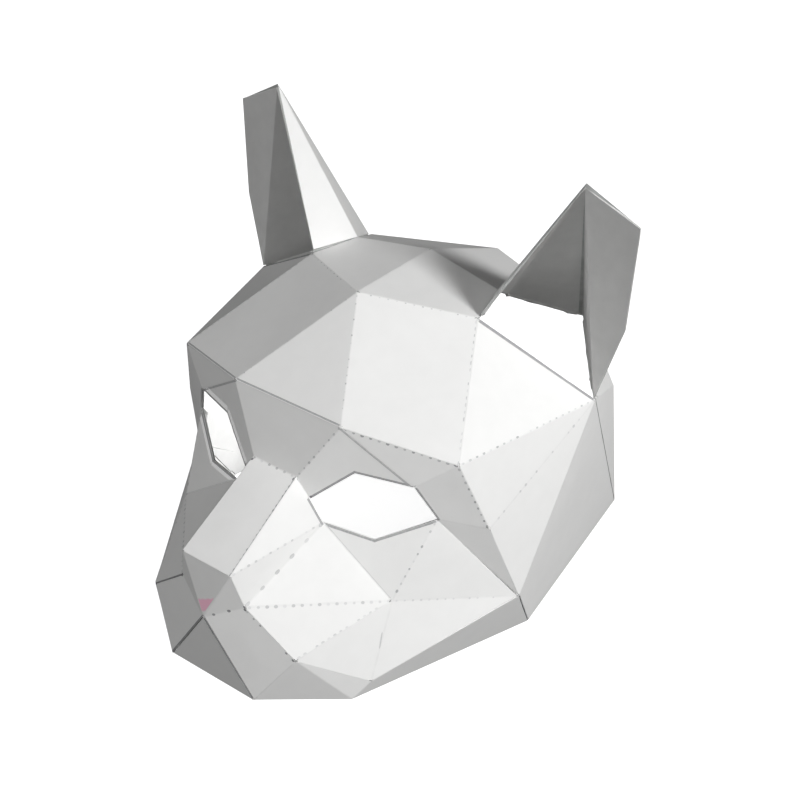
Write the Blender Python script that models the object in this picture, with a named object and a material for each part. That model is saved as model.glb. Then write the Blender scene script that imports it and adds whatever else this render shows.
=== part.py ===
# Faceted animal mask folded from card. It stands on its lower rim, nose towards -Y, wearer's left at +X.
# Origin: middle of the footprint's bounding box, on the surface that the rim rests on.
import bpy
import bmesh
import numpy as np

# Overall sizes, in metres
HALF_WIDTH = 0.0860      # middle line to the temple corner
DEPTH = 0.1972           # nose tip to the rear foot
HEIGHT = 0.1323          # lower rim to the forehead's peak
EAR_RISE = 0.0530        # forehead's peak to the ear tip
# Card and joints
CARD = 0.0010            # thickness of the card
GAP = 0.0003             # play between two glued sheets
TAB = 0.0070             # how far a glue tab reaches behind its neighbour
TAB_INSET = 0.0045       # clear edge left at each end of a tab
CORNER_EASE = 0.0012     # how far an ear's corner is nipped off where it meets the temple

# Corner points of the facets, wearer's left half. A point on the middle line has 0 across.
# Columns: across as a share of HALF_WIDTH, back as a share of DEPTH from its middle, up as a share of HEIGHT.
CROWN_POINTS = {
    "peak": (0.0, -0.011, 1.000),
    "crown": (0.0, 0.234, 0.984),
    "nape": (0.0, 0.493, 0.819),
    "ear_front": (0.484, 0.102, 0.947),
    "ear_inner": (0.414, 0.218, 0.946),
    "ear_back": (0.659, 0.394, 0.794),
}
BROW_POINTS = {
    "brow_inner": (0.305, -0.233, 0.785),
    "brow_outer": (0.798, -0.148, 0.723),
    "cheekbone": (0.905, -0.104, 0.489),
    "cheek": (1.003, -0.048, 0.209),
    "temple": (1.000, 0.197, 0.723),
}
EYE_POINTS = {
    "eye_inner": (0.193, -0.269, 0.529),
    "eye_top": (0.376, -0.229, 0.641),
    "eye_upper": (0.626, -0.187, 0.628),
    "eye_outer": (0.707, -0.158, 0.512),
    "eye_bottom": (0.485, -0.230, 0.435),
    "eye_lower": (0.260, -0.266, 0.461),
}
SNOUT_POINTS = {
    "bridge_top": (0.128, -0.275, 0.593),
    "bridge_end": (0.143, -0.480, 0.434),
    "nostril": (0.187, -0.467, 0.320),
    "nose_tip": (0.0, -0.500, 0.250),
    "lip": (0.430, -0.446, 0.178),
    "muzzle_corner": (0.629, -0.257, 0.280),
}
RIM_POINTS = {
    "chin": (0.250, -0.488, 0.0),
    "jaw_fold": (0.657, -0.337, 0.059),
    "jaw_foot": (0.602, -0.368, 0.0),
    "jaw_corner": (0.950, 0.034, 0.0),
    "rear_foot": (0.806, 0.500, 0.0),
    "rear_elbow": (0.840, 0.405, 0.565),
}
# Ear: the last column is the rise above the forehead's peak, as a share of EAR_RISE.
EAR_POINTS = {
    "ear_tip": (0.855, 0.198, 1.0),
    "ear_shoulder": (1.113, 0.215, 0.749),
    "ear_elbow": (1.097, 0.211, -0.058),
}

# Sheets of the left half: the corners of each panel. The first panel of each list faces away from the
# sheet's reference point below, and the others follow it over their shared folds.
SIDE_SHEETS = {
    "crown": (
        ("peak", "crown", "ear_inner", "ear_front"),
        ("crown", "nape", "ear_back", "ear_inner"),
    ),
    "temple": (
        ("brow_outer", "ear_front", "temple"),
        ("brow_outer", "temple", "cheekbone"),
        ("cheekbone", "temple", "cheek"),
        ("cheek", "temple", "rear_foot"),
        ("cheek", "rear_foot", "jaw_corner"),
    ),
    "rear_side": (
        ("temple", "rear_elbow", "rear_foot"),
        ("temple", "ear_back", "rear_elbow"),
    ),
    "brow": (
        ("brow_inner", "brow_outer", "eye_upper"),
        ("brow_outer", "cheekbone", "eye_outer", "eye_upper"),
        ("cheekbone", "cheek", "eye_outer"),
    ),
    "muzzle": (
        ("bridge_top", "bridge_end", "eye_lower", "eye_inner"),
        ("bridge_end", "nostril", "eye_lower"),
        ("nostril", "muzzle_corner", "eye_lower"),
        ("nostril", "lip", "muzzle_corner"),
    ),
    "cheek": (
        ("eye_lower", "muzzle_corner", "eye_outer", "eye_bottom"),
        ("muzzle_corner", "cheek", "eye_outer"),
        ("muzzle_corner", "jaw_fold", "cheek"),
        ("muzzle_corner", "lip", "jaw_fold"),
    ),
    "jaw": (
        ("lip", "chin", "jaw_foot", "jaw_fold"),
        ("jaw_fold", "jaw_foot", "jaw_corner", "cheek"),
    ),
    "ear": (
        ("ear_tip", "ear_inner", "ear_front"),
        ("ear_tip", "ear_back", "ear_inner"),
        ("ear_tip", "temple", "ear_back"),
        ("ear_tip", "ear_shoulder", "ear_elbow", "temple"),
    ),
}
# Sheets that cross the middle line. "~" marks the twin on the right.
MIDDLE_SHEETS = {
    "forehead": (
        ("peak", "brow_inner", "~brow_inner"),
        ("peak", "ear_front", "brow_outer", "brow_inner"),
        ("peak", "~brow_inner", "~brow_outer", "~ear_front"),
    ),
    "bridge": (
        ("brow_inner", "bridge_top", "~bridge_top", "~brow_inner"),
        ("bridge_top", "bridge_end", "~bridge_end", "~bridge_top"),
        ("brow_inner", "eye_upper", "eye_top", "eye_inner", "bridge_top"),
        ("~brow_inner", "~bridge_top", "~eye_inner", "~eye_top", "~eye_upper"),
    ),
    "nose": (
        ("bridge_end", "~bridge_end", "nose_tip"),
        ("bridge_end", "nose_tip", "nostril"),
        ("~bridge_end", "~nostril", "nose_tip"),
        ("nose_tip", "chin", "lip", "nostril"),
        ("nose_tip", "~nostril", "~lip", "~chin"),
    ),
    "chin": (
        ("nose_tip", "~chin", "chin"),
    ),
}
# Which sheet carries the glue tab on a joint, and the joint's two ends. The tab goes behind the neighbour.
SIDE_TABS = {
    "temple": (("ear_front", "brow_outer"), ("brow_outer", "cheekbone"), ("cheekbone", "cheek")),
    "brow": (("brow_inner", "brow_outer"), ("brow_inner", "eye_upper")),
    "muzzle": (("bridge_top", "bridge_end"), ("muzzle_corner", "eye_lower"), ("lip", "muzzle_corner")),
    "cheek": (("cheek", "eye_outer"),),
    "jaw": (("lip", "chin"), ("lip", "jaw_fold"), ("jaw_fold", "cheek"), ("cheek", "jaw_corner")),
    "rear_side": (("temple", "rear_foot"),),
    "ear": (("ear_inner", "ear_front"), ("ear_back", "ear_inner"), ("temple", "ear_back")),
}
MIDDLE_TABS = {
    "forehead": (("peak", "ear_front"), ("peak", "~ear_front")),
    "bridge": (("brow_inner", "~brow_inner"),),
    "nose": (
        ("bridge_end", "~bridge_end"),
        ("bridge_end", "nostril"),
        ("~bridge_end", "~nostril"),
        ("nostril", "lip"),
        ("~nostril", "~lip"),
    ),
    "chin": (("nose_tip", "chin"), ("nose_tip", "~chin")),
}
# The two halves of the crown meet on the middle line, and only the left one carries tabs there.
CROWN_MIDDLE_TABS = (("peak", "crown"), ("crown", "nape"))
# Corners where sheets with no common joint meet: the share of CORNER_EASE by which each one stands back.
EASED = {
    ("ear", "temple"): 1.0,
    ("ear", "ear_front"): 1.0,
    ("crown", "ear_back"): 0.9,
    ("rear_side", "ear_back"): 0.9,
    ("cheek", "cheek"): 0.5,
}
# A corner keeps its play to a joint first, then the card's exact thickness, then a square free edge.
JOINT_WEIGHT = 3.0
FREE_WEIGHT = 0.3

CARD_COLOUR = (0.86, 0.86, 0.85, 1.0)


def twin(name):
    return name[1:] if name.startswith("~") else "~" + name


def place_points():
    """Real positions of every corner, on both halves."""
    points = {}
    for table in (CROWN_POINTS, BROW_POINTS, EYE_POINTS, SNOUT_POINTS, RIM_POINTS):
        for name, (across, back, up) in table.items():
            points[name] = np.array([across * HALF_WIDTH, back * DEPTH, up * HEIGHT])
    for name, (across, back, rise) in EAR_POINTS.items():
        points[name] = np.array([across * HALF_WIDTH, back * DEPTH, HEIGHT + rise * EAR_RISE])
    for name in list(points):
        points[twin(name)] = points[name] * (-1, 1, 1)
    return points


POINTS = place_points()
MIDDLE = {name for name in POINTS if not name.startswith("~") and POINTS[name][0] == 0.0}


def other_half(names):
    """The same corners on the right half; those on the middle line stay."""
    return tuple(name if name in MIDDLE else twin(name) for name in names)


def unit(v):
    return v / np.linalg.norm(v)


def panel_normal(panel):
    """Area-weighted normal, so that a panel that is a little twisted still has one."""
    corners = [POINTS[name] for name in panel]
    total = np.zeros(3)
    for a, b in zip(corners[1:-1], corners[2:]):
        total += np.cross(a - corners[0], b - corners[0])
    return unit(total)


def edges_of(panel):
    return list(zip(panel, panel[1:] + panel[:1]))


def turned(panels, inside):
    """Puts the panels of one sheet the same way round, the first facing away from a point inside."""
    panels = [tuple(p) for p in panels]
    first = panels[0]
    middle = sum(POINTS[name] for name in first) / len(first)
    if np.dot(panel_normal(first), middle - inside) < 0:
        panels[0] = first[::-1]
    settled = {0}
    while len(settled) < len(panels):
        for i in range(len(panels)):
            if i in settled:
                continue
            for k in settled:
                known = set(edges_of(panels[k]))
                if known & set(edges_of(panels[i])):
                    panels[i] = panels[i][::-1]
                if known & {(b, a) for a, b in edges_of(panels[i])}:
                    settled = settled | {i}
                    break
    return panels


def inside_point(sheet, side):
    """A point behind the first panel of a sheet: in the head's hollow, or in the ear's."""
    if sheet == "ear":
        return (POINTS["ear_tip"] + POINTS["temple"] + POINTS["ear_back"]) / 3 * (side, 1, 1)
    return np.array([0.0, 0.05 * DEPTH, 0.35 * HEIGHT])


def all_sheets():
    """Every sheet by name, with its panels and the joints where it carries a tab."""
    sheets = {}
    for name, panels in MIDDLE_SHEETS.items():
        sheets[name] = (turned(panels, inside_point(name, 1)), MIDDLE_TABS.get(name, ()))
    for name, panels in SIDE_SHEETS.items():
        tabs = SIDE_TABS.get(name, ())
        mirrored = [other_half(p) for p in panels]
        extra = CROWN_MIDDLE_TABS if name == "crown" else ()
        sheets[name + "_left"] = (turned(panels, inside_point(name, 1)), tabs + extra)
        sheets[name + "_right"] = (turned(mirrored, inside_point(name, -1)), tuple(other_half(t) for t in tabs))
    return sheets


SHEETS = all_sheets()
OWNER = {}
for sheet_name, (sheet_panels, sheet_tabs) in SHEETS.items():
    for panel_index, corners_in_order in enumerate(sheet_panels):
        for directed in edges_of(corners_in_order):
            OWNER[directed] = (sheet_name, panel_index)


def neighbour(edge):
    """The panel on the other side of a joint, or None at a free edge."""
    found = OWNER.get((edge[1], edge[0]))
    if found is None:
        return None
    return found[0], SHEETS[found[0]][0][found[1]]


def edge_frame(edge, panel):
    """Direction along an edge, and the normal of the plane that cuts the card there, pointing inwards."""
    a, b = POINTS[edge[0]], POINTS[edge[1]]
    along = unit(b - a)
    normal = panel_normal(panel)
    beyond = neighbour(edge)
    if beyond is not None:
        bisector = unit(normal + panel_normal(beyond[1]))
        return along, unit(np.cross(bisector, along))
    if a[2] == 0.0 and b[2] == 0.0:
        return along, np.array([0.0, 0.0, 1.0])
    return along, unit(np.cross(normal, along))


def settle(name, sheet, depth):
    """Where a corner of a sheet lies at a depth below its outer faces, drawn back from its joints."""
    own = SHEETS[sheet][0]
    kind = sheet.rsplit("_", 1)[0] if sheet.endswith(("_left", "_right")) else sheet
    ease = EASED.get((kind, name.lstrip("~")), 0.0) * CORNER_EASE
    free_ease = ease if kind == "ear" else 0.0
    on_floor = POINTS[name][2] == 0.0
    rows, values = [], []
    for panel in own:
        if name in panel:
            rows.append(panel_normal(panel))
            values.append(-depth)
    inner_edges = {(b, a) for panel in own for a, b in edges_of(panel)}
    for panel in own:
        for edge in edges_of(panel):
            if name not in edge or edge in inner_edges:
                continue
            cut = edge_frame(edge, panel)[1]
            if on_floor and cut[2] == 1.0:
                continue
            weight, back_by = (JOINT_WEIGHT, max(GAP / 2, ease)) if neighbour(edge) else (FREE_WEIGHT, free_ease)
            rows.append(cut * weight)
            values.append(back_by * weight)
    rows = np.array(rows)
    if on_floor:
        rows[:, 2] = 0.0
    return POINTS[name] + np.linalg.lstsq(rows, np.array(values), rcond=0.04)[0]


def meet(point, normals, distances):
    """The place near a point that is at the given distances from it along three normals."""
    return point + np.linalg.solve(np.array(normals), np.array(distances))


def corner_angle(panel, name):
    """The angle of a panel at one of its corners."""
    i = panel.index(name)
    before = unit(POINTS[panel[i - 1]] - POINTS[name])
    after = unit(POINTS[panel[(i + 1) % len(panel)]] - POINTS[name])
    return np.arccos(np.clip(np.dot(before, after), -1.0, 1.0))


def panel_reach(panel, edge):
    """How far a panel reaches back from one of its edges."""
    a, b = POINTS[edge[0]], POINTS[edge[1]]
    inwards = unit(np.cross(panel_normal(panel), b - a))
    return max(abs(np.dot(POINTS[name] - a, inwards)) for name in panel)


def tab_outline(edge, panel, beyond):
    """Width of a tab, and where its root and its tip start and end along the joint."""
    length = np.linalg.norm(POINTS[edge[1]] - POINTS[edge[0]])
    width = min(TAB, 0.34 * panel_reach(beyond, edge), 0.28 * length)
    ends = []
    for name in edge:
        half = corner_angle(beyond, name) / 2
        own_half = corner_angle(panel, name) / 2
        clear = 0.4 * TAB_INSET / np.sin(half)
        root = max(min(TAB_INSET, 0.2 * length), clear, 1.8 * CARD / np.sin(own_half))
        tip = max(root + 0.45 * width, clear + width / np.tan(half))
        ends.append((root, tip))
    if length - ends[0][1] - ends[1][1] < 0.12 * length:
        squeeze = 0.88 * length / (ends[0][1] + ends[1][1])
        width *= squeeze
        ends = [(root, max(root + 0.3 * width, tip * squeeze)) for root, tip in ends]
    return width, ends


def add_card(sheet):
    """One sheet: outer faces, inner faces, cut edges, and the folded-in glue tabs."""
    own, tabs = SHEETS[sheet]
    tab_edges = {frozenset(t) for t in tabs}
    mesh = bmesh.new()
    outer = {}
    inner = {}
    for panel in own:
        for name in panel:
            if name not in outer:
                outer[name] = mesh.verts.new(settle(name, sheet, 0.0))
                inner[name] = mesh.verts.new(settle(name, sheet, CARD))
    inner_edges = {(b, a) for panel in own for a, b in edges_of(panel)}
    for panel in own:
        mesh.faces.new([outer[name] for name in panel])
        below = []
        for edge in edges_of(panel):
            below.append(inner[edge[0]])
            if edge in inner_edges:
                continue
            wall = [outer[edge[1]], outer[edge[0]], inner[edge[0]]]
            if frozenset(edge) in tab_edges:
                notch, foot = add_tab(mesh, edge, panel, inner)
                below += notch
                wall += foot
            wall.append(inner[edge[1]])
            mesh.faces.new(wall)
        mesh.faces.new(below[::-1])
    return mesh


def add_tab(mesh, edge, panel, inner):
    """A tab on a joint. Returns its outline on the sheet's inner face and on the sheet's cut edge."""
    beyond = neighbour(edge)[1]
    along, inwards = edge_frame(edge, panel)
    normal, far_normal = panel_normal(panel), panel_normal(beyond)
    under = unit(np.cross(along, far_normal))
    width, ends = tab_outline(edge, panel, beyond)
    start, stop = inner[edge[0]].co, inner[edge[1]].co
    start, stop = np.array(start), np.array(stop)
    lean = np.dot(normal, inwards)
    merged = lean > 0 and (CARD + GAP) / (2 * lean) < 1.3 * (GAP / 2 + CARD)
    columns = []
    for origin, sign, (root, tip) in ((POINTS[edge[0]], 1, ends[0]), (POINTS[edge[1]], -1, ends[1])):
        at = origin + along * root * sign
        share = np.dot(at - start, along) / np.dot(stop - start, along)
        lip = start + (stop - start) * share
        crook = meet(at, (along, inwards, far_normal), (0.0, GAP / 2, -CARD - GAP))
        slip = along * (tip - root) * sign + under * width
        column = [lip, crook, crook + slip, crook + slip - far_normal * CARD]
        if merged:
            column.append(meet(at, (along, normal, far_normal), (0.0, -CARD, -2 * CARD - GAP)))
        else:
            column.append(meet(at, (along, inwards, far_normal), (0.0, GAP / 2 + CARD, -2 * CARD - GAP)))
            column.append(meet(at, (along, inwards, normal), (0.0, GAP / 2 + CARD, -CARD)))
        columns.append([mesh.verts.new(v) for v in column])
    (lip_a, crook_a, top_a, tip_a, *back_a), (lip_b, crook_b, top_b, tip_b, *back_b) = columns
    faces = [
        (crook_a, crook_b, top_b, top_a),
        (top_a, top_b, tip_b, tip_a),
        (tip_a, tip_b, back_b[0], back_a[0]),
        (lip_a, crook_a, *back_a),
        (lip_b, *back_b[::-1], crook_b),
        (crook_a, top_a, tip_a, back_a[0]),
        (crook_b, back_b[0], tip_b, top_b),
    ]
    if not merged:
        faces.append((back_a[0], back_b[0], back_b[1], back_a[1]))
    for face in faces:
        mesh.faces.new(face)
    return [lip_a, back_a[-1], back_b[-1], lip_b], [lip_a, crook_a, crook_b, lip_b]


def card_material(name):
    material = bpy.data.materials.new(name)
    material.use_nodes = True
    shader = material.node_tree.nodes["Principled BSDF"]
    shader.inputs["Base Color"].default_value = CARD_COLOUR
    shader.inputs["Roughness"].default_value = 0.75
    return material


for leftover in list(bpy.data.objects):
    bpy.data.objects.remove(leftover, do_unlink=True)
for sheet in SHEETS:
    built = add_card(sheet)
    built.normal_update()
    bmesh.ops.triangulate(built, faces=built.faces[:], ngon_method="EAR_CLIP")
    bmesh.ops.recalc_face_normals(built, faces=built.faces[:])
    data = bpy.data.meshes.new(sheet)
    built.to_mesh(data)
    built.free()
    piece = bpy.data.objects.new(sheet, data)
    data.materials.append(card_material(sheet + "_card"))
    bpy.context.scene.collection.objects.link(piece)
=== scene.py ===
import math

import bmesh
import bpy
import numpy as np
from mathutils import Matrix, Vector, noise
from mathutils.bvhtree import BVHTree


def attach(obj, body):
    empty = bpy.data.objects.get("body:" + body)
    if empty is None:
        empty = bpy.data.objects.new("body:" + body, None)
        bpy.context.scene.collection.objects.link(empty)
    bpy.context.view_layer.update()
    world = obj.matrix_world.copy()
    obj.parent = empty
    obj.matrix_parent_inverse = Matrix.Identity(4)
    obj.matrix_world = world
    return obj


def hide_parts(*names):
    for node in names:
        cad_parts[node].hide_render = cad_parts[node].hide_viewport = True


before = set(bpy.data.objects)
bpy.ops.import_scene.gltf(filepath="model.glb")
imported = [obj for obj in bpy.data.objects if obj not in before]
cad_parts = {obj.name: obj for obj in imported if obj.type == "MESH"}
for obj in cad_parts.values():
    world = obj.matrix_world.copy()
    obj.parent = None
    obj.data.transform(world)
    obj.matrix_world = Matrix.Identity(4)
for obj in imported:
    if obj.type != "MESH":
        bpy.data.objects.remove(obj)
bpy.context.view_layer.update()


# Forehead
# One sheet of smooth white card, cut out, scored and folded outwards from the peak into three broad panels.
# It carries glue tabs behind the crown, and the brow and temple sheets are glued to its lower edges.
def linear(colour):
    """An sRGB hex colour as the linear red, green, blue and alpha of a socket."""
    parts = [int(colour[i : i + 2], 16) / 255 for i in (1, 3, 5)]
    return [c / 12.92 if c <= 0.04045 else ((c + 0.055) / 1.055) ** 2.4 for c in parts] + [1.0]


def add(tree, kind, settings=None, links=None):
    """Adds a node: its own properties and socket values from settings, its incoming wires from links."""
    node = tree.nodes.new(kind)
    for name, value in (settings or {}).items():
        if isinstance(name, str) and hasattr(node, name):
            setattr(node, name, value)
        else:
            node.inputs[name].default_value = value
    for name, source in (links or {}).items():
        tree.links.new(source, node.inputs[name])
    return node


def blank_material(name):
    """A material and its empty tree."""
    material = bpy.data.materials.new(name)
    material.use_nodes = True
    material.node_tree.nodes.clear()
    return material, material.node_tree


def card(name, light, shade, roughness, tooth):
    """Bleached board: its fibres mottle it by a hair, and its pressed surface has a fine tooth."""
    material, tree = blank_material(name)
    place = add(tree, "ShaderNodeTexCoord").outputs["Object"]
    # Clouds of fibre in the pulp are about 6 mm across.
    cloud = add(tree, "ShaderNodeTexNoise", {"Scale": 160.0, "Detail": 3.0}, {"Vector": place})
    mottle = add(tree, "ShaderNodeValToRGB", links={"Fac": cloud.outputs["Fac"]})
    mottle.color_ramp.elements[0].position = 0.3
    mottle.color_ramp.elements[0].color = linear(shade)
    mottle.color_ramp.elements[1].position = 0.7
    mottle.color_ramp.elements[1].color = linear(light)
    # Real tooth is about 0.1 mm; it is drawn at 0.5 mm, the finest grain that shows.
    grain = add(tree, "ShaderNodeTexNoise", {"Scale": 2000.0, "Detail": 2.0}, {"Vector": place})
    gloss = add(
        tree,
        "ShaderNodeMapRange",
        {"To Min": roughness - 0.05, "To Max": roughness + 0.05},
        {"Value": cloud.outputs["Fac"]},
    )
    bump = add(
        tree,
        "ShaderNodeBump",
        {"Strength": 0.35, "Distance": tooth},
        {"Height": grain.outputs["Fac"]},
    )
    shader = add(
        tree,
        "ShaderNodeBsdfPrincipled",
        {"IOR": 1.47, "Specular IOR Level": 0.35},
        {
            "Base Color": mottle.outputs["Color"],
            "Roughness": gloss.outputs["Result"],
            "Normal": bump.outputs["Normal"],
        },
    )
    add(tree, "ShaderNodeOutputMaterial", links={"Surface": shader.outputs["BSDF"]})
    return material


# White bleached board, calendered: matt, and so even that the mottle hardly shows.
card_face = card("bleached_card_face", "#F1F1F0", "#EFEFEE", 0.62, 0.00003)
# Along a score the pressed surface is stretched and creased, so it is a hair duller and rougher.
scored_fold = card("scored_card_fold", "#F0F0EF", "#E9E9E8", 0.7, 0.00005)
# The knife leaves the bare pulp open at the cut edge, which is rough and greyer.
cut_edge = card("cut_card_edge", "#BFC1BF", "#A6A8A6", 0.85, 0.00008)
# The inside faces of the mask and of its ears are a shade greyer: painted shade of the hollow shell.
inside_shade_card = card("card_inside_painted_shade", "#DADAD9", "#D4D4D3", 0.8, 0.00005)

FOLD_WIDTH = 0.00045     # how far a fold's rounding reaches to each side
EDGE_WEAR = 0.00013      # the softened corner of a cut edge
BOW = 0.0006             # how far a broad panel may bow
BOW_RUN = 0.017          # how far from a fold or an edge it takes to bow in full
BOW_SPAN = 0.06          # distance from one bow to the next
WEAVE = 0.005            # spacing of the panels' own points
STRIP = 0.0008           # a face of less than twice this width is the card's cut edge
SHORT_EDGE = 0.003       # an edge under this length stays sharp
FLAT = math.radians(0.3)         # a smaller angle between two faces is no fold
LEVEL = math.radians(0.4)        # faces that differ by less are one face
TWIST = math.radians(5)          # triangles that differ by less are one twisted panel
SHARP = math.radians(35)         # from here on an edge is shaded as an edge
FACE, FOLD, CUT, INSIDE_SHADE = 0, 1, 2, 3    # the four materials of a sheet, in order

HEART = Vector((0, 0.0099, 0.0463))     # a point in the middle of the hollow

# Without a seed Blender draws this noise from the clock, and each run would bow the panels another way.
BOW_SEED = 5
noise.seed_set(BOW_SEED)

corner = {}


def place_corners(**places):
    """Notes where the facets meet, in millimetres, for the wearer's left and mirrored for the right."""
    for name, (across, back, up) in places.items():
        corner[name] = Vector((across, back, up)) / 1000
        corner["~" + name] = Vector((-across, back, up)) / 1000


def twin(name):
    return name[1:] if name.startswith("~") else "~" + name


def nearest_corner(point):
    return min(corner, key=lambda name: (corner[name] - point).length)


def is_broad(face):
    """True for a panel or a tab, and False for the thin strip where the card is cut."""
    return face.calc_area() > STRIP * face.calc_perimeter()


def finish_sheet(node, kept_folds=(), inside=HEART):
    """A sheet of the frame as real card: soft folds, worn cut edges, and panels that bow a little.

    Two triangles that are one slightly twisted panel become one, unless their fold is named in kept_folds.
    What faces the point inside gets the greyer inside material, which is painted shade."""
    kept = {frozenset(fold) for fold in kept_folds}
    cut = bmesh.new()
    cut.from_mesh(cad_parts[node].data)
    bmesh.ops.remove_doubles(cut, verts=cut.verts, dist=1e-5)
    bmesh.ops.dissolve_limit(cut, angle_limit=LEVEL, verts=cut.verts, edges=cut.edges)
    soft = []
    for edge in cut.edges:
        if edge.calc_face_angle(math.pi) < TWIST and all(is_broad(face) for face in edge.link_faces):
            if frozenset(nearest_corner(v.co) for v in edge.verts) not in kept:
                soft.append(edge)
    bmesh.ops.dissolve_edges(cut, edges=soft, use_verts=False)

    weight = cut.edges.layers.float.new("bevel_weight_edge")
    creases = []
    for face in cut.faces:
        face.material_index = FACE if is_broad(face) else CUT
    for edge in cut.edges:
        if edge.calc_face_angle(0.0) < FLAT:
            continue
        creases.append([v.co.copy() for v in edge.verts])
        fold = all(face.material_index == FACE for face in edge.link_faces)
        if edge.calc_length() > SHORT_EDGE:
            edge[weight] = 1.0 if fold else EDGE_WEAR / FOLD_WIDTH
    data = bpy.data.meshes.new(node + "_blank")
    cut.to_mesh(data)
    cut.free()
    for material in (card_face, scored_fold, cut_edge, inside_shade_card):
        data.materials.append(material)
    blank = bpy.data.objects.new(node + "_blank", data)
    bpy.context.scene.collection.objects.link(blank)
    rounding = blank.modifiers.new("folds", "BEVEL")
    rounding.width = FOLD_WIDTH
    rounding.segments = 3
    rounding.limit_method = "WEIGHT"
    rounding.use_clamp_overlap = False
    rounding.material = FOLD
    depsgraph = bpy.context.evaluated_depsgraph_get()
    rounded = bpy.data.meshes.new_from_object(blank.evaluated_get(depsgraph))
    bpy.data.objects.remove(blank)

    shaped = bmesh.new()
    shaped.from_mesh(rounded)
    places = np.array([v.co for v in shaped.verts])
    for axis in range(3):
        across = Vector([float(i == axis) for i in range(3)])
        low, high = places[:, axis].min(), places[:, axis].max()
        for step in range(1, int((high - low) / WEAVE) + 1):
            bmesh.ops.bisect_plane(
                shaped,
                geom=shaped.verts[:] + shaped.edges[:] + shaped.faces[:],
                dist=1e-6,
                plane_co=across * (low + WEAVE * step),
                plane_no=across,
            )
    places = np.array([v.co for v in shaped.verts])[:, None, :]
    starts = np.array([pair[0] for pair in creases])[None]
    runs = np.array([pair[1] for pair in creases])[None] - starts
    along = np.clip(((places - starts) * runs).sum(2) / (runs**2).sum(2), 0, 1)
    gap = np.linalg.norm(places - starts - along[:, :, None] * runs, axis=2).min(1)
    share = np.clip(gap / BOW_RUN, 0, 1)
    share = share * share * (3 - 2 * share)
    for vertex, amount in zip(shaped.verts, share):
        vertex.co += noise.noise_vector(vertex.co / BOW_SPAN) * BOW * float(amount)
    for face in shaped.faces:
        face.smooth = True
        # Faces that look into the hollow take the painted shade of the inside.
        if face.material_index != CUT and face.normal.dot(inside - face.calc_center_median()) > 0:
            face.material_index = INSIDE_SHADE
    shaped.to_mesh(rounded)
    shaped.free()
    rounded.set_sharp_from_angle(angle=SHARP)
    rounded.name = node + "_sheet"
    sheet = bpy.data.objects.new(node + "_sheet", rounded)
    bpy.context.scene.collection.objects.link(sheet)
    flatness = sheet.modifiers.new("flatness", "WEIGHTED_NORMAL")
    flatness.keep_sharp = True
    return sheet


place_corners(
    peak=(0, -2.2, 132.3),
    ear_front=(41.6, 20.1, 125.3),
    brow_inner=(26.2, -46, 103.9),
    brow_outer=(68.6, -29.2, 95.7),
)
forehead = finish_sheet("forehead")
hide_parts("forehead")
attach(forehead, "root")

# The fold lines are marked on the card as rows of fine grey dots, some pressed harder than others. The
# graphite lies matt in the pressed card and is a different grey in each dot.
mark_grey, mark_tree = blank_material("graphite_fold_mark")
mark_tone = add(mark_tree, "ShaderNodeAttribute", {"attribute_name": "tone"})
mark_ramp = add(mark_tree, "ShaderNodeValToRGB", links={"Fac": mark_tone.outputs["Fac"]})
mark_ramp.color_ramp.elements[0].color = linear("#88888A")
mark_ramp.color_ramp.elements[1].color = linear("#E4E4E4")
mark_shader = add(
    mark_tree,
    "ShaderNodeBsdfPrincipled",
    {"Roughness": 0.7, "Specular IOR Level": 0.3},
    {"Base Color": mark_ramp.outputs["Color"]},
)
add(mark_tree, "ShaderNodeOutputMaterial", links={"Surface": mark_shader.outputs["BSDF"]})


def name_sockets(tree, inputs, output):
    """Gives a tree its named inputs, each with its usual value, and its one output."""
    for name, kind, value in inputs:
        socket = tree.interface.new_socket(name, in_out="INPUT", socket_type=kind)
        if value is not None:
            socket.default_value = value
    tree.interface.new_socket(output, in_out="OUTPUT", socket_type="NodeSocketGeometry")
    return add(tree, "NodeGroupInput").outputs


# Dots at an even pitch along every line of a path, or strips end to end for a solid line. They are laid
# on the nearest face of the sheet and follow it round a fold.
dotting = bpy.data.node_groups.new("fold_dots", "GeometryNodeTree")
dot_inputs = (
    ("Path", "NodeSocketGeometry", None),
    ("Sheet", "NodeSocketObject", None),
    ("Pitch", "NodeSocketFloat", 0.0033),
    ("Dot Length", "NodeSocketFloat", 0.0012),
    ("Dot Width", "NodeSocketFloat", 0.0010),
    ("Solid", "NodeSocketBool", False),
    ("Unevenness", "NodeSocketFloat", 0.35),
    ("Missing", "NodeSocketFloat", 0.1),
    ("Darkest", "NodeSocketFloat", 0.3),
    ("Palest", "NodeSocketFloat", 1.0),
    ("Seed", "NodeSocketInt", 1),
    ("Material", "NodeSocketMaterial", None),
)
given = name_sockets(dotting, dot_inputs, "Dots")
lines = add(dotting, "GeometryNodeMeshToCurve", links={"Mesh": given["Path"]})
points = add(
    dotting,
    "GeometryNodeCurveToPoints",
    {"mode": "LENGTH"},
    {"Curve": lines.outputs["Curve"], "Length": given["Pitch"]},
)
skipped = add(
    dotting,
    "FunctionNodeRandomValue",
    {"data_type": "BOOLEAN"},
    {"Probability": given["Missing"], "Seed": given["Seed"]},
)
left_over = add(
    dotting,
    "GeometryNodeDeleteGeometry",
    {"domain": "POINT"},
    {"Geometry": points.outputs["Points"], "Selection": skipped.outputs[3]},
)
sheet_info = add(
    dotting, "GeometryNodeObjectInfo", {"transform_space": "RELATIVE"}, {"Object": given["Sheet"]}
)
normal = add(dotting, "GeometryNodeInputNormal")
outwards = add(
    dotting,
    "GeometryNodeSampleNearestSurface",
    {"data_type": "FLOAT_VECTOR"},
    {"Mesh": sheet_info.outputs["Geometry"], "Value": normal.outputs["Normal"]},
)
upright = add(
    dotting, "FunctionNodeAlignRotationToVector", {"axis": "Z"}, {"Vector": outwards.outputs["Value"]}
)
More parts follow.
